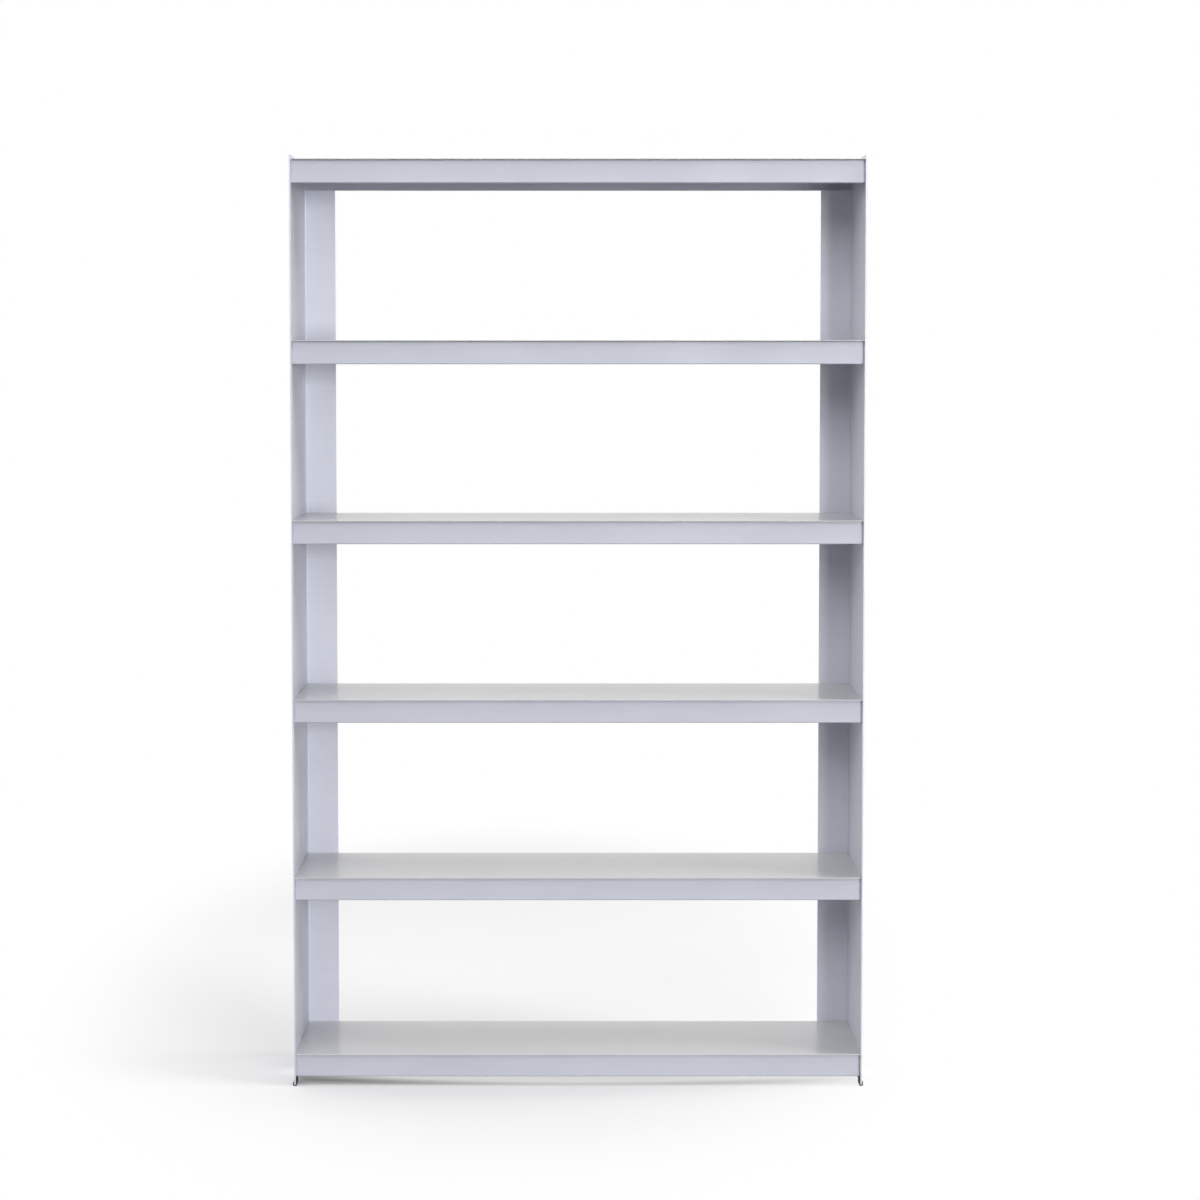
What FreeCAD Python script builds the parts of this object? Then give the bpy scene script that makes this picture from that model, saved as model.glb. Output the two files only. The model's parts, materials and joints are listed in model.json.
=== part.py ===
import FreeCAD, Part
import math
import os
import re

import Sketcher

# An open metal bookcase: two folded side panels carry six shelves, and there is no back.
# X runs along the shelves with the viewer's left at -X, the front is at -Y, and the floor is at Z = 0.

SHELVES = 6

# Driving sizes in millimetres. A name that ends in share is a plain ratio.
SIZES = {
    # The whole bookcase, outside the panels
    "overall_width": "1200",
    "overall_depth": "320",
    "overall_height": "1958",
    # Side panels: the web runs front to back, the rear flange turns inwards
    "panel_sheet": "3",
    "panel_bend": "3",
    "rear_flange": "70",
    # How far the panels rise above the top shelf
    "panel_rise": "8",
    # Shelf surface: a flat sheet that stands out past the front rail as a nose
    "shelf_sheet": "2",
    "nose": "12",
    "sheet_gap": "0.5",
    # Front and rear rails: a folded channel under the sheet
    "rail_height": "48",
    "rail_depth": "20",
    "rail_sheet": "1.5",
    "rail_bend": "0.8",
    "rail_end_gap": "0.4",
    # Cleats: folded angles welded to the panels, on which the front rail sits
    "cleat_sheet": "3",
    "cleat_bend": "2",
    "cleat_arm": "25",
    "cleat_length": "30",
    "cleat_clearance": "0.5",
    # Studs welded to the rear flanges, and their nuts
    "stud_diameter": "6",
    "stud_clearance": "0.3",
    "stud_end": "2",
    "stud_inset": "30",
    "nut_flats": "10",
    "nut_thickness": "5",
    "thread_clearance": "0.1",
    # Holes in the top rear rail for fixing the bookcase to a wall
    "wall_hole_diameter": "7",
    "wall_hole_spacing": "800",
    # Glides: J-shaped clips under the panels
    "glide_base": "3",
    "glide_wall": "2.5",
    "glide_clearance": "0.1",
    "glide_inner_leg": "17.5",
    "glide_outer_leg": "8",
    "glide_length": "30",
    "glide_setback": "2",
    # How far the lowest rails stay above the tips of the glides
    "glide_headroom": "0.5",
    # Softened sheet edges
    "edge_round": "0.6",
    "edge_round_share": "0.3",
    "tip_round_share": "0.4",
}

# Sizes worked out from the driving ones, as expressions
INSIDE = "(overall_width / 2 - panel_sheet)"
FRONT = "(-overall_depth / 2)"
FLANGE_FACE = "(overall_depth / 2 - panel_sheet)"
FLANGE_EDGE = "(overall_width / 2 - rear_flange)"
BEND_START = "(overall_width / 2 - panel_sheet - panel_bend - sheet_gap)"
PANEL_LENGTH = "(overall_height - glide_base)"
# The lowest rails pass just above the tips of the glides
BOTTOM_LEVEL = "(glide_inner_leg + glide_headroom + rail_height + shelf_sheet)"
SHELF_PITCH = f"((overall_height - panel_rise - {BOTTOM_LEVEL}) / {SHELVES - 1})"
SHEET_LENGTH = f"(2 * ({INSIDE} - sheet_gap))"
SHEET_DEPTH = "(overall_depth - panel_sheet - sheet_gap)"
FASCIA = f"({FRONT} + nose)"
RAIL_END = f"({INSIDE} - rail_end_gap)"
FRONT_RAIL_LENGTH = f"(2 * {RAIL_END})"
REAR_RAIL_LENGTH = f"(2 * min({RAIL_END}; {BEND_START}))"
CLEAT_HEIGHT = "(rail_height - 2 * rail_sheet - cleat_clearance)"
STUD_HOLE = "(stud_diameter / 2 + stud_clearance)"
STUD_PLACE = f"({FLANGE_EDGE} + stud_inset)"
GLIDE_WIDTH = "(panel_sheet + 2 * glide_clearance + 2 * glide_wall)"

# Two places closer than this many millimetres are the same place
SAME_PLACE = 1e-6
X, Y, Z = range(3)
AHEAD = FreeCAD.Rotation()
ABOUT_Y = FreeCAD.Rotation(FreeCAD.Vector(0, 1, 0), 180)
ABOUT_Z = FreeCAD.Rotation(FreeCAD.Vector(0, 0, 1), 180)
# The local +Z axis of a stud or nut points forwards from the flange
FORWARDS = FreeCAD.Rotation(FreeCAD.Vector(1, 0, 0), 90)

doc = FreeCAD.newDocument("Bookcase")
sheet = doc.addObject("Spreadsheet::Sheet", "Sizes")
for row, (alias, number) in enumerate(SIZES.items(), start=1):
    sheet.set(f"A{row}", alias)
    sheet.set(f"B{row}", number)
    sheet.setAlias(f"B{row}", alias)
doc.recompute()

nodes = []


def cells(text):
    """The expression with each size written as a cell of the sheet."""
    return re.sub(r"[a-z_]+", lambda word: f"Sizes.{word[0]}" if word[0] in SIZES else word[0], text)


def value(text):
    """The number that an expression stands for now."""
    return float(sheet.evalExpression(cells(text)))


def bind(thing, name, text):
    thing.setExpression(name, cells(text))


def place(thing, rotation, across, depth, height):
    """Turns a sub-part and binds its place to three expressions."""
    thing.Placement = FreeCAD.Placement(FreeCAD.Vector(), rotation)
    for axis, text in zip("xyz", (across, depth, height)):
        bind(thing, f"Placement.Base.{axis}", text)


def level(shelf):
    """Height of a shelf's surface; shelf 1 is the lowest."""
    return f"({BOTTOM_LEVEL} + {shelf - 1} * {SHELF_PITCH})"


def rail_bottom(shelf):
    return f"({level(shelf)} - shelf_sheet - rail_height)"


def rail_middle(shelf):
    return f"({rail_bottom(shelf)} + rail_height / 2)"


def new_body(label):
    body = doc.addObject("PartDesign::Body", label)
    body.Label = label
    return body


def new_sketch(body, name, plane):
    """A sketch on one of the body's own origin planes."""
    sketch = body.newObject("Sketcher::SketchObject", name)
    support = next(item for item in body.Origin.OriginFeatures if item.Role == plane)
    sketch.AttachmentSupport = (support, [""])
    sketch.MapMode = "FlatFace"
    return sketch


def pin_point(sketch, line, point, across, up):
    """Holds one point of the sketch at two expressions, or on an axis where the expression is zero."""
    for text, kind, axis in ((across, "DistanceX", -2), (up, "DistanceY", -1)):
        if text == "0":
            sketch.addConstraint(Sketcher.Constraint("PointOnObject", line, point, axis))
            continue
        index = sketch.addConstraint(Sketcher.Constraint(kind, -1, 1, line, point, value(text)))
        bind(sketch, f"Constraints[{index}]", text)


def pad_outline(body, plane, corners, length, reverse=False):
    """Pads a closed outline of straight runs, given by its corners."""
    sketch = new_sketch(body, f"{body.Label}_outline", plane)
    points = [FreeCAD.Vector(value(across), value(up), 0) for across, up in corners]
    for start, end in zip(points, points[1:] + points[:1]):
        sketch.addGeometry(Part.LineSegment(start, end), False)
    for line, (across, up) in enumerate(corners):
        sketch.addConstraint(Sketcher.Constraint("Coincident", line, 2, (line + 1) % len(corners), 1))
        pin_point(sketch, line, 1, across, up)
    pad = body.newObject("PartDesign::Pad", f"{body.Label}_pad")
    pad.Profile = sketch
    pad.Reversed = reverse
    bind(pad, "Length", length)
    doc.recompute()
    return pad


def round_edges(body, radius, along, spots):
    """Fillets the straight edges that run along one axis through the given spots of the section."""
    base = body.Tip
    others = [axis for axis in (X, Y, Z) if axis != along]
    names = []
    for spot in spots:
        wanted = [value(text) for text in spot]
        for number, edge in enumerate(base.Shape.Edges, start=1):
            ends = [vertex.Point for vertex in edge.Vertexes]
            misses = [abs(end[axis] - want) for end in ends for axis, want in zip(others, wanted)]
            if max(misses) < SAME_PLACE:
                names.append(f"Edge{number}")
    if len(names) != len(spots):
        raise RuntimeError(f"{body.Label}: {len(names)} edges at {len(spots)} spots")
    fillet = body.newObject("PartDesign::Fillet", f"{body.Label}_round")
    fillet.Base = (base, names)
    bind(fillet, "Radius", radius)
    doc.recompute()


def soften(body, wall, along, spots):
    """Breaks the sharp cut edges of a sheet, by no more than its wall allows."""
    round_edges(body, f"min(edge_round; {wall} * edge_round_share)", along, spots)


def drill(body, plane, radius, wall, centres, reverse=False):
    """Cuts round holes through one wall and makes sure that they were cut."""
    before = body.Tip.Shape.Volume
    sketch = new_sketch(body, f"{body.Label}_holes", plane)
    for across, up in centres:
        middle = FreeCAD.Vector(value(across), value(up), 0)
        circle = sketch.addGeometry(Part.Circle(middle, FreeCAD.Vector(0, 0, 1), value(radius)), False)
        pin_point(sketch, circle, 3, across, up)
        index = sketch.addConstraint(Sketcher.Constraint("Radius", circle, value(radius)))
        bind(sketch, f"Constraints[{index}]", radius)
    pocket = body.newObject("PartDesign::Pocket", f"{body.Label}_drilled")
    pocket.Profile = sketch
    pocket.Type = "ThroughAll"
    pocket.Reversed = reverse
    doc.recompute()
    removed = before - pocket.Shape.Volume
    expected = len(centres) * math.pi * value(radius) ** 2 * value(wall)
    if not math.isclose(removed, expected, rel_tol=SAME_PLACE):
        raise RuntimeError(f"{body.Label}: holes removed {removed}, not {expected}")


def group(label, members):
    """One sub-part of several separate solids."""
    compound = doc.addObject("Part::Compound", label)
    compound.Label = label
    compound.Links = members
    nodes.append(compound)


def side_panel(label, rotation, across, height):
    """A folded sheet: the web, one bend and the rear flange. The right panel is the left one turned over."""
    body = new_body(label)
    inner = "(overall_depth - panel_sheet)"
    pad_outline(body, "XY_Plane", [
        ("0", "0"),
        ("panel_sheet", "0"),
        ("panel_sheet", inner),
        ("rear_flange", inner),
        ("rear_flange", "overall_depth"),
        ("0", "overall_depth"),
    ], PANEL_LENGTH)
    round_edges(body, "panel_bend", Z, [("panel_sheet", inner)])
    round_edges(body, "panel_bend + panel_sheet", Z, [("0", "overall_depth")])
    soften(body, "panel_sheet", Z, [
        ("0", "0"),
        ("panel_sheet", "0"),
        ("rear_flange", inner),
        ("rear_flange", "overall_depth"),
    ])
    place(body, rotation, across, FRONT, height)
    nodes.append(body)


def shelf_surface(shelf):
    """The flat sheet, with rear corners rounded to sit inside the panels' bends and a softened nose."""
    body = new_body(f"shelf_sheet_{shelf}")
    pad_outline(body, "XY_Plane", [
        ("0", "0"),
        (SHEET_LENGTH, "0"),
        (SHEET_LENGTH, SHEET_DEPTH),
        ("0", SHEET_DEPTH),
    ], "shelf_sheet")
    round_edges(body, "panel_bend", Z, [("0", SHEET_DEPTH), (SHEET_LENGTH, SHEET_DEPTH)])
    soften(body, "shelf_sheet", X, [("0", "0"), ("0", "shelf_sheet")])
    place(body, AHEAD, f"-{SHEET_LENGTH} / 2", FRONT, f"{level(shelf)} - shelf_sheet")
    nodes.append(body)


def rail(label, length):
    """A folded channel: its web faces local -Y, and its flanges point the other way."""
    body = new_body(label)
    pad_outline(body, "YZ_Plane", [
        ("0", "0"),
        ("rail_depth", "0"),
        ("rail_depth", "rail_sheet"),
        ("rail_sheet", "rail_sheet"),
        ("rail_sheet", "(rail_height - rail_sheet)"),
        ("rail_depth", "(rail_height - rail_sheet)"),
        ("rail_depth", "rail_height"),
        ("0", "rail_height"),
    ], length)
    round_edges(body, "rail_bend", X, [
        ("rail_sheet", "rail_sheet"),
        ("rail_sheet", "(rail_height - rail_sheet)"),
    ])
    round_edges(body, "rail_bend + rail_sheet", X, [("0", "0"), ("0", "rail_height")])
    nodes.append(body)
    return body


def front_rail(shelf):
    body = rail(f"front_rail_{shelf}", FRONT_RAIL_LENGTH)
    place(body, AHEAD, f"-{FRONT_RAIL_LENGTH} / 2", FASCIA, rail_bottom(shelf))


def rear_rail(shelf):
    """The rear channel, drilled for the panels' studs. The top one also has the wall fixing holes."""
    body = rail(f"rear_rail_{shelf}", REAR_RAIL_LENGTH)
    middle = f"{REAR_RAIL_LENGTH} / 2"
    studs = [f"{middle} {sign} {STUD_PLACE}" for sign in "-+"]
    drill(body, "XZ_Plane", STUD_HOLE, "rail_sheet", [(across, "rail_height / 2") for across in studs])
    if shelf == SHELVES:
        fixings = [f"{middle} {sign} wall_hole_spacing / 2" for sign in "-+"]
        drill(body, "XZ_Plane", "wall_hole_diameter / 2", "rail_sheet",
              [(across, "rail_height / 2") for across in fixings])
    place(body, ABOUT_Z, middle, FLANGE_FACE, rail_bottom(shelf))


def cleat(label, rotation, across, depth, height):
    """A folded angle: one leg lies on the panel's web, and the rail's upper flange sits on the arm."""
    body = new_body(label)
    under_arm = f"({CLEAT_HEIGHT} - cleat_sheet)"
    pad_outline(body, "XZ_Plane", [
        ("0", "0"),
        ("cleat_sheet", "0"),
        ("cleat_sheet", under_arm),
        ("cleat_arm", under_arm),
        ("cleat_arm", CLEAT_HEIGHT),
        ("0", CLEAT_HEIGHT),
    ], "cleat_length", reverse=True)
    round_edges(body, "cleat_bend", Y, [("cleat_sheet", under_arm)])
    round_edges(body, "cleat_bend + cleat_sheet", Y, [("0", CLEAT_HEIGHT)])
    place(body, rotation, across, depth, height)
    return body


def front_rail_cleats(shelf):
    """The two cleats of one shelf, inside the ends of the front rail and clear of its bends."""
    label = f"front_rail_cleats_{shelf}"
    front = f"({FASCIA} + rail_sheet + rail_bend + cleat_clearance)"
    bottom = f"({rail_bottom(shelf)} + rail_sheet + cleat_clearance)"
    group(label, [
        cleat(f"{label}_left", AHEAD, f"-{INSIDE}", front, bottom),
        cleat(f"{label}_right", ABOUT_Z, INSIDE, f"{front} + cleat_length", bottom),
    ])


def panel_studs(label, sign):
    """The studs of one panel: one on the rear flange at each shelf."""
    members = []
    for shelf in range(1, SHELVES + 1):
        rod = doc.addObject("Part::Cylinder", f"{label}_{shelf}")
        bind(rod, "Radius", "stud_diameter / 2")
        bind(rod, "Height", "rail_sheet + nut_thickness + stud_end")
        place(rod, FORWARDS, f"{sign}{STUD_PLACE}", FLANGE_FACE, rail_middle(shelf))
        members.append(rod)
    group(label, members)


def nut(label, across, height):
    """A hexagon nut with a plain bore, seated on the front of the rear rail's web."""
    hexagon = doc.addObject("Part::Prism", f"{label}_hexagon")
    hexagon.Polygon = 6
    bind(hexagon, "Circumradius", "nut_flats / sqrt(3)")
    bind(hexagon, "Height", "nut_thickness")
    bore = doc.addObject("Part::Cylinder", f"{label}_bore")
    bind(bore, "Radius", "stud_diameter / 2 + thread_clearance")
    bind(bore, "Height", "nut_thickness")
    cut = doc.addObject("Part::Cut", label)
    cut.Base = hexagon
    cut.Tool = bore
    place(cut, FORWARDS, across, f"{FLANGE_FACE} - rail_sheet", height)
    return cut


def shelf_nuts(shelf):
    """The nuts of one shelf: one at each end of the rear rail."""
    label = f"shelf_nuts_{shelf}"
    group(label, [
        nut(f"{label}_left", f"-{STUD_PLACE}", rail_middle(shelf)),
        nut(f"{label}_right", STUD_PLACE, rail_middle(shelf)),
    ])


def glide(label, rotation, across, depth):
    """A J-shaped clip: a low leg outside the panel, a tall leg inside it and a rounded base."""
    body = new_body(label)
    slot = "(glide_wall + panel_sheet + 2 * glide_clearance)"
    pad_outline(body, "XZ_Plane", [
        ("0", "0"),
        (GLIDE_WIDTH, "0"),
        (GLIDE_WIDTH, "glide_inner_leg"),
        (slot, "glide_inner_leg"),
        (slot, "glide_base"),
        ("glide_wall", "glide_base"),
        ("glide_wall", "glide_outer_leg"),
        ("0", "glide_outer_leg"),
    ], "glide_length", reverse=True)
    round_edges(body, "glide_wall", Y, [("0", "0"), (GLIDE_WIDTH, "0")])
    round_edges(body, "glide_wall * tip_round_share", Y, [
        ("0", "glide_outer_leg"),
        ("glide_wall", "glide_outer_leg"),
        (slot, "glide_inner_leg"),
        (GLIDE_WIDTH, "glide_inner_leg"),
    ])
    place(body, rotation, across, depth, "0")
    nodes.append(body)


def glides():
    """Four glides on the webs: two at the front edges and two in front of the bends."""
    outside = "(overall_width / 2 + glide_clearance + glide_wall)"
    front = f"({FRONT} + glide_setback)"
    rear = "(overall_depth / 2 - panel_sheet - panel_bend - glide_setback)"
    glide("front_left_glide", AHEAD, f"-{outside}", front)
    glide("front_right_glide", ABOUT_Z, outside, f"{front} + glide_length")
    glide("rear_left_glide", AHEAD, f"-{outside}", f"{rear} - glide_length")
    glide("rear_right_glide", ABOUT_Z, outside, rear)


side_panel("left_side_panel", AHEAD, "-overall_width / 2", "glide_base")
side_panel("right_side_panel", ABOUT_Y, "overall_width / 2", "overall_height")
panel_studs("left_panel_studs", "-")
panel_studs("right_panel_studs", "")
for shelf in range(1, SHELVES + 1):
    shelf_surface(shelf)
    front_rail(shelf)
    rear_rail(shelf)
    front_rail_cleats(shelf)
    shelf_nuts(shelf)
glides()
doc.recompute()

for item in doc.Objects:
    if "Invalid" in item.State or "Error" in item.State:
        raise RuntimeError(f"{item.Label} failed: {item.State}")
for node in nodes:
    if node.Shape.isNull() or not node.Shape.isValid():
        raise RuntimeError(f"{node.Label} has no valid shape")

os.makedirs("parts", exist_ok=True)
for node in nodes:
    node.Shape.exportStep(f"parts/{node.Label}.step")
    box = node.Shape.BoundBox
    print(f"{node.Label}: {len(node.Shape.Solids)} solids, {node.Shape.Volume / 1000:.1f} cm3,",
          f"x {box.XMin:.1f} to {box.XMax:.1f}, y {box.YMin:.1f} to {box.YMax:.1f},",
          f"z {box.ZMin:.1f} to {box.ZMax:.1f}")
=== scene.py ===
# %% [markdown]
# # An open bookcase of folded sheet metal
# Two folded side panels carry six shelves, and there is no back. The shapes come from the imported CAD
# model, so this lesson is about finishes and light: how a plain sheet of satin metal is made to look
# like one, with brushing, clouding and handled edges, and how a pale studio is set up around it.

# %% Load the model
import json
import math

import bpy
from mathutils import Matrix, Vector


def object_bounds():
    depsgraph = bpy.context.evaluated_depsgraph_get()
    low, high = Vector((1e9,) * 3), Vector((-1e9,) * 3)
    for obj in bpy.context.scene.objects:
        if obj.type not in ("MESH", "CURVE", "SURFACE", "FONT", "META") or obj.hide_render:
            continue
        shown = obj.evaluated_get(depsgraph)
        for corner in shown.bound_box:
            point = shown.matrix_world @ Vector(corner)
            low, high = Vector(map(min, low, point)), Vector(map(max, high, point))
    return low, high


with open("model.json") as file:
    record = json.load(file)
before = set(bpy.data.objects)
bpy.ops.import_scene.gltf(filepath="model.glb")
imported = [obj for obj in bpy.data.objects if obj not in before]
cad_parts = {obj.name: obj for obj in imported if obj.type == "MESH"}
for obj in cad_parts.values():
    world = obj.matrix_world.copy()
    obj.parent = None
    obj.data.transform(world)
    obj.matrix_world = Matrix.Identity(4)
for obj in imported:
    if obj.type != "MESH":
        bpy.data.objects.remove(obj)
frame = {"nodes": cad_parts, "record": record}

cad_low, cad_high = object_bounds()
nodes = frame["nodes"]
size = cad_high - cad_low
print(f"{len(nodes)} nodes, {size.x:.3f} by {size.y:.3f} by {size.z:.3f} m")

# %% [markdown]
# ## Small helpers
# Every finish below is a tree of shader nodes. Making a node, setting its sockets and linking it are
# the same three moves each time, so one helper does them: a value that is a socket is linked, and any
# other value is set. The others are short forms of what the finishes use most.


# %% Helpers
def put(tree, kind, settings=None, **sockets):
    """Adds a node. Settings are its own properties; sockets are inputs, by name or number (as _0)."""
    node = tree.nodes.new(kind)
    for name, value in (settings or {}).items():
        setattr(node, name, value)
    for name, value in sockets.items():
        key = int(name[1:]) if name[1:].isdigit() else name.replace("_", " ")
        if isinstance(value, bpy.types.NodeSocket):
            tree.links.new(value, node.inputs[key])
        else:
            node.inputs[key].default_value = value
    return node


def math_node(tree, operation, first, second):
    return put(tree, "ShaderNodeMath", {"operation": operation}, _0=first, _1=second).outputs[0]


def vector_node(tree, operation, first, second):
    """The outputs of a vector operation: number 0 is the vector, and Value is the number."""
    return put(tree, "ShaderNodeVectorMath", {"operation": operation}, _0=first, _1=second).outputs


def remap(tree, value, low, high, to_low=0.0, to_high=1.0):
    """Stretches a value from one range to another, with soft ends."""
    return put(tree, "ShaderNodeMapRange", {"interpolation_type": "SMOOTHSTEP"}, Value=value,
               From_Min=low, From_Max=high, To_Min=to_low, To_Max=to_high).outputs["Result"]


def blend_colours(tree, factor, first, second):
    """Mixes two colours, each of them a socket or three numbers."""
    node = put(tree, "ShaderNodeMix", {"data_type": "RGBA"}, Factor=factor)
    for name, colour in (("A_Color", first), ("B_Color", second)):
        socket = next(item for item in node.inputs if item.identifier == name)
        if isinstance(colour, bpy.types.NodeSocket):
            tree.links.new(colour, socket)
        else:
            socket.default_value = (*colour, 1.0)
    return next(item for item in node.outputs if item.identifier == "Result_Color")


def grey(level):
    return (level, level, level)


def new_group(name, inputs, outputs):
    """A shader node group with named sockets. Inputs are (name, socket type, first value)."""
    tree = bpy.data.node_groups.new(name, "ShaderNodeTree")
    for label, kind, first in inputs:
        tree.interface.new_socket(label, in_out="INPUT", socket_type=kind).default_value = first
    for label in outputs:
        tree.interface.new_socket(label, in_out="OUTPUT", socket_type="NodeSocketFloat")
    return tree, tree.nodes.new("NodeGroupInput").outputs, tree.nodes.new("NodeGroupOutput").inputs


def new_material(name):
    """A material, its node tree and its Principled shader."""
    material = bpy.data.materials.new(name)
    material.use_nodes = True
    return material, material.node_tree, material.node_tree.nodes["Principled BSDF"]


def add_object(name, data):
    thing = bpy.data.objects.new(name, data)
    bpy.context.scene.collection.objects.link(thing)
    return thing


print("helpers ready")

# %% [markdown]
# ## The grain of brushed sheet
# Satin aluminium is brushed before it is anodised: fine lines all run one way, some stretches are a
# little cloudier than others, and a few scratches cross them. An image texture could hold that, but
# noise that is squeezed across the lines and stretched along them needs no image and no unwrapping,
# and it keeps its size in metres on every piece. Each metal sets how dense its lines are on each axis.

# %% Brushed grain group
FLOAT, VECTOR = "NodeSocketFloat", "NodeSocketVector"

grain, given, gives = new_group(
    "brushed_grain",
    [("Lines per metre", VECTOR, (20.0, 20.0, 20.0)), ("Scratches per metre", VECTOR, (9.0, 9.0, 9.0)),
     ("Clouds per metre", FLOAT, 5.0)],
    ["Lines", "Clouds", "Scratches"],
)
place = put(grain, "ShaderNodeTexCoord").outputs["Object"]
along = vector_node(grain, "MULTIPLY", place, given["Lines per metre"])[0]
lines = put(grain, "ShaderNodeTexNoise", Vector=along, Scale=1.0, Detail=3.0, Roughness=0.65)
grain.links.new(remap(grain, lines.outputs["Fac"], 0.28, 0.72), gives["Lines"])
clouds = put(grain, "ShaderNodeTexNoise", Vector=place, Scale=given["Clouds per metre"],
             Detail=4.0, Roughness=0.55)
grain.links.new(remap(grain, clouds.outputs["Fac"], 0.3, 0.7), gives["Clouds"])
across = vector_node(grain, "MULTIPLY", place, given["Scratches per metre"])[0]
bent = vector_node(grain, "ADD", across, clouds.outputs["Color"])[0]
scratches = put(grain, "ShaderNodeTexNoise", Vector=bent, Scale=1.0, Detail=2.0, Roughness=0.5)
grain.links.new(remap(grain, scratches.outputs["Fac"], 0.6, 0.78), gives["Scratches"])
print("group", grain.name, "puts out", [item.name for item in gives if item.name])

# %% [markdown]
# ## Edges that hands have polished
# The cut edges and bends of sheet metal are the first places to lose their satin and turn brighter.
# Vertex paint could mark them, but the CAD meshes are never edited here. The Bevel node finds edges
# while rendering: near an edge its rounded normal turns away from the true one, and how far it turns
# is the mask.

# %% Handled edge group
FLAT, TURNED = 0.995, 0.8  # how far the two normals agree where the mask starts and where it is full

edges, given, gives = new_group("handled_edge", [("Reach", FLOAT, 0.002)], ["Edge"])
true_normal = put(edges, "ShaderNodeNewGeometry").outputs["Normal"]
rounded = put(edges, "ShaderNodeBevel", {"samples": 4}, Radius=given["Reach"]).outputs["Normal"]
facing = vector_node(edges, "DOT_PRODUCT", rounded, true_normal)["Value"]
edges.links.new(remap(edges, facing, FLAT, TURNED), gives["Edge"])
print("group", edges.name, "ready")

# %% [markdown]
# ## Satin metal
# All the sheet pieces are the same kind of metal with different brushing. One function builds the
# material: the grain tints the colour and roughens the gloss, the edge mask lightens the edges, and the
# lines and scratches also tilt the surface a little through a Bump node, which is what breaks up the
# reflections as on real brushed sheet. The anodised skin of the sheets scatters most light like a matt
# paint and mirrors little of it, so their metallic level is low, and only the bare cleats have it in
# full. What is constant, such as that level, sits on the shader.

# %% Satin metal builder
EDGE_REACH = 0.0015  # m
EDGE_BRIGHTER, EDGE_SMOOTHER = 1.12, 0.08  # factor on the colour, drop in roughness
SCRATCH_SHARE, SCRATCH_LEAST = 0.25, 4.0  # scratches per metre: a share of the lines, and some more
BUMP_HEIGHT = 0.0002  # m


def satin_metal(name, dull, bright, lines, metallic, roughness, relief, scuffs=0.3, specular=0.3):
    """A brushed metal. Lines is the density of the brushing on X, Y and Z, in lines per metre."""
    material, tree, shader = new_material(name)
    shader.inputs["Metallic"].default_value = metallic
    shader.inputs["Specular IOR Level"].default_value = specular
    scratches = [density * SCRATCH_SHARE + SCRATCH_LEAST for density in lines]
    texture = put(tree, "ShaderNodeGroup", {"node_tree": grain}, Lines_per_metre=lines,
                  Scratches_per_metre=scratches).outputs
    rim = put(tree, "ShaderNodeGroup", {"node_tree": edges}, Reach=EDGE_REACH).outputs["Edge"]
    tone = math_node(tree, "ADD", math_node(tree, "MULTIPLY", texture["Lines"], 0.5),
                     math_node(tree, "MULTIPLY", texture["Clouds"], 0.5))
    sheet = blend_colours(tree, tone, dull, bright)
    polished = [min(1.0, channel * EDGE_BRIGHTER) for channel in bright]
    tree.links.new(blend_colours(tree, rim, sheet, polished), shader.inputs["Base Color"])
    smooth, rough = roughness
    gloss = remap(tree, tone, 0.0, 1.0, rough, smooth)
    worn = math_node(tree, "SUBTRACT", gloss, math_node(tree, "MULTIPLY", rim, EDGE_SMOOTHER))
    tree.links.new(worn, shader.inputs["Roughness"])
    cuts = math_node(tree, "MULTIPLY", texture["Scratches"], scuffs)
    height = math_node(tree, "SUBTRACT", texture["Lines"], cuts)
    bump = put(tree, "ShaderNodeBump", Strength=relief, Distance=BUMP_HEIGHT, Height=height)
    tree.links.new(bump.outputs["Normal"], shader.inputs["Normal"])
    return material


panel_metal = satin_metal(
    "satin_panel", dull=(0.71, 0.73, 0.81), bright=(0.76, 0.78, 0.86), lines=(9.0, 9.0, 330.0),
    metallic=0.15, roughness=(0.36, 0.48), relief=0.12)
rail_metal = satin_metal(
    "satin_rail", dull=(0.59, 0.607, 0.69), bright=(0.63, 0.647, 0.73), lines=(5.0, 420.0, 420.0),
    metallic=0.15, roughness=(0.50, 0.60), relief=0.1)
shelf_metal = satin_metal(
    "satin_shelf", dull=(0.675, 0.675, 0.682), bright=(0.70, 0.70, 0.707), lines=(1.2, 420.0, 420.0),
    metallic=0.06, roughness=(0.20, 0.25), relief=0.03, scuffs=0.08, specular=0.18)
cleat_metal = satin_metal(
    "mill_cleat", dull=(0.50, 0.51, 0.53), bright=(0.57, 0.58, 0.60), lines=(60.0, 700.0, 60.0),
    metallic=1.0, roughness=(0.40, 0.55), relief=0.3)
for metal in (panel_metal, rail_metal, shelf_metal, cleat_metal):
    print(metal.name, len(metal.node_tree.nodes), "nodes")

# %% [markdown]
# ## Zinc-plated fasteners and moulded glides
# The studs and nuts are plated steel: the zinc leaves small pale patches, so a Voronoi cell pattern sets
# the tone. The glides are moulded in black plastic with a fine spark-eroded grain, which a small noise
# bump gives, and their edges have worn a little greyer.

# %% Zinc and plastic
ZINC_DARK, ZINC_PALE = (0.50, 0.50, 0.48), (0.64, 0.64, 0.61)
PIT_DARK, PIT_PALE, WORN_EDGE = (0.012, 0.012, 0.013), (0.022, 0.022, 0.023), (0.05, 0.05, 0.052)

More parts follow.
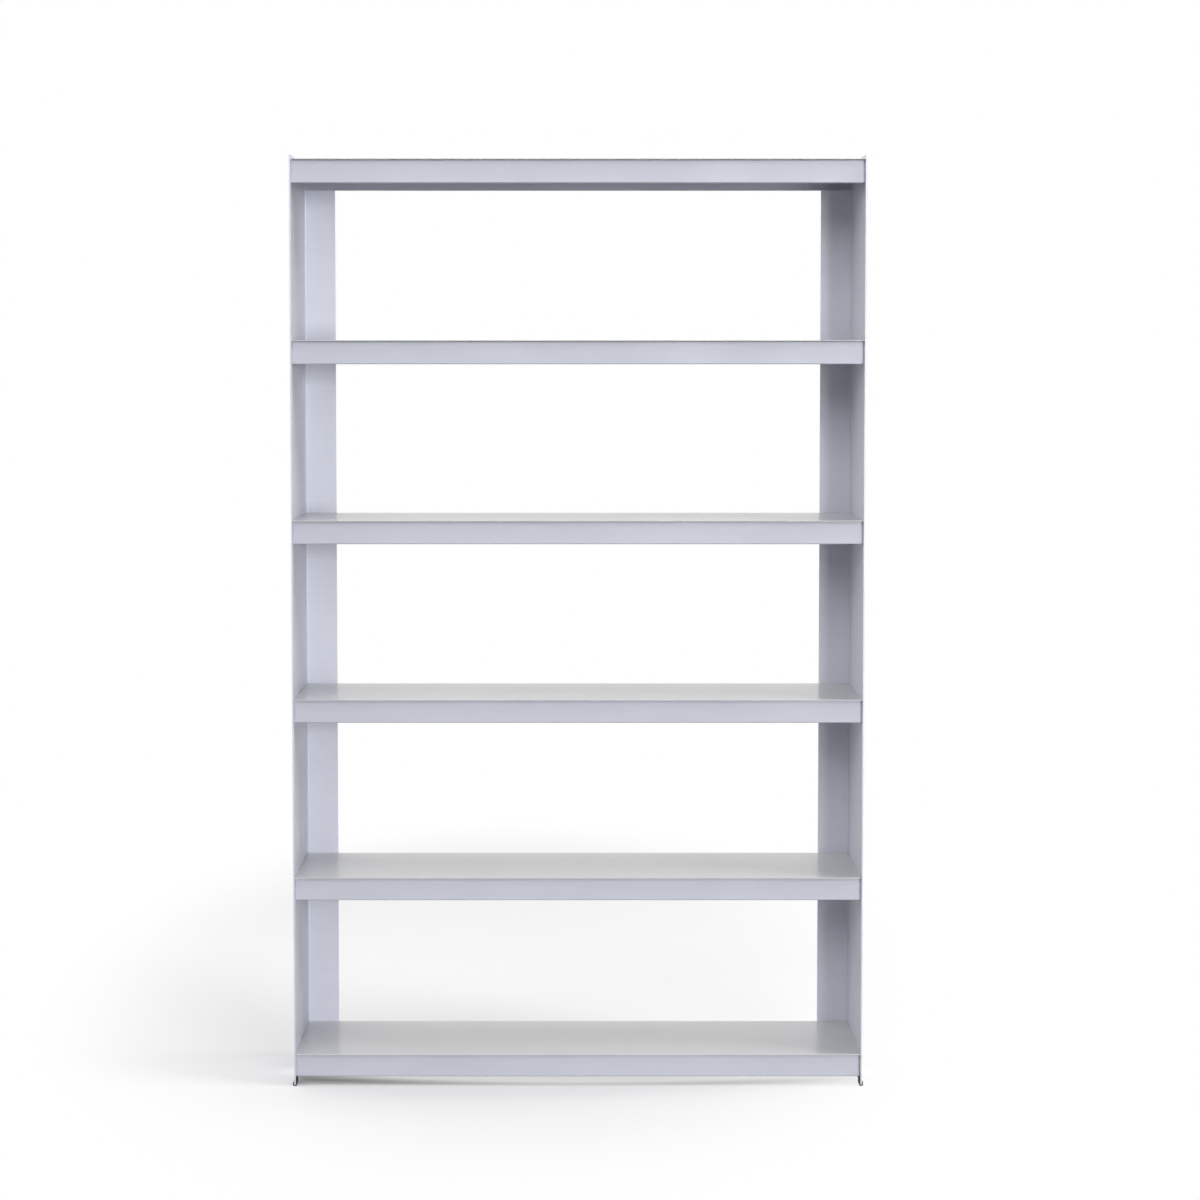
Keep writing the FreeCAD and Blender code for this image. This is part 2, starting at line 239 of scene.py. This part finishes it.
fastener_steel, tree, shader = new_material("zinc_fastener")
shader.inputs["Metallic"].default_value = 1.0
place = put(tree, "ShaderNodeTexCoord").outputs["Object"]
patches = put(tree, "ShaderNodeTexVoronoi", Vector=place, Scale=900.0).outputs["Color"]
patch_tone = put(tree, "ShaderNodeSeparateColor", Color=patches).outputs[0]
tree.links.new(blend_colours(tree, patch_tone, ZINC_DARK, ZINC_PALE), shader.inputs["Base Color"])
tree.links.new(remap(tree, patch_tone, 0.0, 1.0, 0.42, 0.28), shader.inputs["Roughness"])

glide_plastic, tree, shader = new_material("moulded_glide")
place = put(tree, "ShaderNodeTexCoord").outputs["Object"]
pits = put(tree, "ShaderNodeTexNoise", Vector=place, Scale=2200.0, Detail=2.0).outputs["Fac"]
rim = put(tree, "ShaderNodeGroup", {"node_tree": edges}, Reach=0.0008).outputs["Edge"]
moulded = blend_colours(tree, pits, PIT_DARK, PIT_PALE)
tree.links.new(blend_colours(tree, rim, moulded, WORN_EDGE), shader.inputs["Base Color"])
tree.links.new(remap(tree, pits, 0.3, 0.7, 0.5, 0.65), shader.inputs["Roughness"])
bump = put(tree, "ShaderNodeBump", Strength=0.3, Distance=0.0001, Height=pits)
tree.links.new(bump.outputs["Normal"], shader.inputs["Normal"])
print(fastener_steel.name, "and", glide_plastic.name, "ready")

# %% [markdown]
# ## Giving each piece its finish
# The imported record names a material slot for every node, so the finishes go on by slot. A node whose
# slot has no finish here would show up at once as a missing name.

# %% Assign finishes
finishes = {"panel_metal": panel_metal, "rail_metal": rail_metal, "shelf_metal": shelf_metal,
            "cleat_metal": cleat_metal, "fastener_steel": fastener_steel, "glide_plastic": glide_plastic}
subparts = frame["record"]["subparts"]
for part in subparts:
    piece = nodes[part["node"]]
    piece.data.materials.clear()
    piece.data.materials.append(finishes[part["material_slot"]])
print(len(subparts), "pieces have a finish")

# %% [markdown]
# ## Floor
# The bookcase stands on a pale studio floor that runs out into white. In a pool around the bookcase,
# which reaches further to the rear and the left because the shadow falls there, the floor is matt and
# takes that shadow. Past the pool it fades into plain white, so no horizon shows. Only a slit of the
# floor shows under the lowest shelf. There a painted glow that only the camera sees lightens the
# floor's shade, which keeps it from turning into a dark strip. The camera and the metal see that white
# floor. Light that bounces about meets a darker one, so that the white adds no light to the bookcase. A
# curved backdrop could hide the horizon too, but only from the front.

# %% Floor
FLOOR_REACH = 60.0  # m each way
FLOOR_SEEN, FLOOR_BOUNCE = 0.90, 0.25  # how white it is to the eye, and to light that bounces
# Camera-only glow: in the open an even lift keeps the floor white, and under the lowest shelf it is
# painted light that lightens the floor's shade.
OPEN_GLOW, SLIT_PAINTED_GLOW = 0.09, 0.59  # what only the camera sees: in the open, and under the lowest shelf
WHITE = grey(1.0)
# Ovals on the floor: the middle's x and y, half the width, half the depth, where the edge starts and ends
POOL = (-0.2, 1.1, 0.86, 1.85, 0.7, 1.3)
SLIT = (0.0, -0.03, 0.64, 0.115, 0.7, 1.1)


def seen_by(tree):
    """Two masks: rays straight from the camera, and rays that metal or glass sends on."""
    light = put(tree, "ShaderNodeLightPath").outputs
    mirrored = math_node(tree, "MAXIMUM", light["Is Glossy Ray"], light["Is Transmission Ray"])
    return light["Is Camera Ray"], mirrored


def outside(tree, spot, x, y, half_wide, half_deep, edge_start, edge_end):
    """A mask on the floor: 0 inside an oval and 1 outside it."""
    scaled = put(tree, "ShaderNodeVectorMath", {"operation": "MULTIPLY_ADD"}, _0=spot,
                 _1=(1.0 / half_wide, 1.0 / half_deep, 0.0),
                 _2=(-x / half_wide, -y / half_deep, 0.0)).outputs[0]
    away = put(tree, "ShaderNodeVectorMath", {"operation": "LENGTH"}, _0=scaled).outputs["Value"]
    return remap(tree, away, edge_start, edge_end)


corners = [(x * FLOOR_REACH, y * FLOOR_REACH, 0.0) for x, y in ((-1, -1), (1, -1), (1, 1), (-1, 1))]
mesh = bpy.data.meshes.new("studio_floor")
mesh.from_pydata(corners, [], [(0, 1, 2, 3)])
floor = add_object("studio_floor", mesh)

floor_white, tree, shader = new_material("floor_white")
shader.inputs["Roughness"].default_value = 0.9
shader.inputs["Specular IOR Level"].default_value = 0.0
shader.inputs["Emission Color"].default_value = (*WHITE, 1.0)
straight, mirrored = seen_by(tree)
seen = math_node(tree, "MAXIMUM", straight, mirrored)
tint = blend_colours(tree, seen, grey(FLOOR_BOUNCE), grey(FLOOR_SEEN))
tree.links.new(tint, shader.inputs["Base Color"])
spot = put(tree, "ShaderNodeTexCoord").outputs["Object"]
# Painted glow: full inside the slit oval under the lowest shelf, where it lightens the shade, and down to
# the even open lift outside it.
drop = math_node(tree, "MULTIPLY", outside(tree, spot, *SLIT), SLIT_PAINTED_GLOW - OPEN_GLOW)
lift = math_node(tree, "SUBTRACT", SLIT_PAINTED_GLOW, drop)
tree.links.new(math_node(tree, "MULTIPLY", straight, lift), shader.inputs["Emission Strength"])
white_floor = put(tree, "ShaderNodeEmission", Color=(*WHITE, 1.0), Strength=seen).outputs[0]
mixed = put(tree, "ShaderNodeMixShader", _0=outside(tree, spot, *POOL), _1=shader.outputs[0],
            _2=white_floor)
tree.links.new(mixed.outputs[0], tree.nodes["Material Output"].inputs["Surface"])
floor.data.materials.append(floor_white)
print("floor reaches", FLOOR_REACH, "m each way")

# %% [markdown]
# ## Studio light
# Three soft lamps light the six shelves. The key lamp is low, far to the front and a little to the
# right: it reaches the rear flange on the left, while the right panel shades the one on the right. The
# front lamp is higher and to the left, and fills the bays from above. The side lamp is nearer and high
# on the right, and throws the soft shadow to the left. The rest is the room, white behind the bookcase
# and dim in front, so that the shelves seen at a low angle mirror the white and the upright metal
# doesn't.

# %% Lamps and room
HIGHEST_AIM = 2.6  # m; a lamp below this looks level, and one above it looks down
BRIGHT_SIDE = Vector((-0.58, 0.69, 0.42)).normalized()  # to the rear, the left and up
DIM_END, BRIGHT_END = 0.2, 0.7  # how far towards that side the room starts to turn white, and is white
ROOM_FILL, ROOM_MIRRORED = 0.245, 0.06  # the dim side, as light and as seen in the metal

view = bpy.context.scene.view_settings
view.view_transform = "Standard"


def soft_lamp(name, azimuth, distance, height, width, tall, watts):
    """A soft lamp aimed at the bookcase's axis; azimuth runs from the front to the right."""
    lamp = bpy.data.lights.new(name, "AREA")
    lamp.shape = "RECTANGLE"
    lamp.size, lamp.size_y = width, tall
    lamp.energy = watts
    thing = add_object(name, lamp)
    turn = math.radians(azimuth)
    thing.location = (math.sin(turn) * distance, -math.cos(turn) * distance, height)
    target = Vector((0.0, 0.0, min(height, HIGHEST_AIM)))
    thing.rotation_mode = "QUATERNION"
    thing.rotation_quaternion = (target - thing.location).to_track_quat("-Z", "Y")
    return thing


lamps = [
    soft_lamp("key_lamp", azimuth=20.0, distance=14.0, height=1.9, width=5.0, tall=3.6, watts=890.0),
    soft_lamp("front_lamp", azimuth=-22.0, distance=12.0, height=7.0, width=13.0, tall=6.0, watts=520.0),
    soft_lamp("side_lamp", azimuth=80.0, distance=5.0, height=5.5, width=4.0, tall=4.0, watts=270.0),
]

room = bpy.data.worlds.new("studio_room")
bpy.context.scene.world = room
room.use_nodes = True
tree = room.node_tree
way = put(tree, "ShaderNodeTexCoord").outputs["Generated"]
towards = vector_node(tree, "DOT_PRODUCT", way, BRIGHT_SIDE)["Value"]
level = remap(tree, towards, DIM_END, BRIGHT_END)
lighting = blend_colours(tree, level, grey(ROOM_FILL), WHITE)
mirrored_room = blend_colours(tree, level, grey(ROOM_MIRRORED), WHITE)
straight, mirrored = seen_by(tree)
around = blend_colours(tree, mirrored, lighting, mirrored_room)
tree.links.new(blend_colours(tree, straight, around, WHITE), tree.nodes["Background"].inputs["Color"])
for lamp in lamps:
    print(lamp.name, "at", [round(part, 2) for part in lamp.location])

# %% [markdown]
# ## Camera
# The bookcase is seen straight on from chest height, so the shelves below eye level show their tops. A
# view camera would look level and shift its lens far down to keep the verticals upright. That shift would
# stay on in every other view and push the bookcase out of the frame, so most of it is taken up by tipping
# the camera down a little, which makes the verticals converge only slightly.

# %% Camera
TIP_DOWN = 3.55  # degrees

eye = bpy.data.cameras.new("studio_camera")
eye.sensor_width = 36.0
eye.lens = 89.5
eye.shift_x = 0.0183
eye.shift_y = -0.05
camera = add_object("studio_camera", eye)
camera.location = (0.0, -6.384, 1.543)
camera.rotation_euler = (math.radians(90.0 - TIP_DOWN), 0.0, 0.0)
bpy.context.scene.camera = camera
print("camera", [round(part, 3) for part in camera.location], "lens", eye.lens)
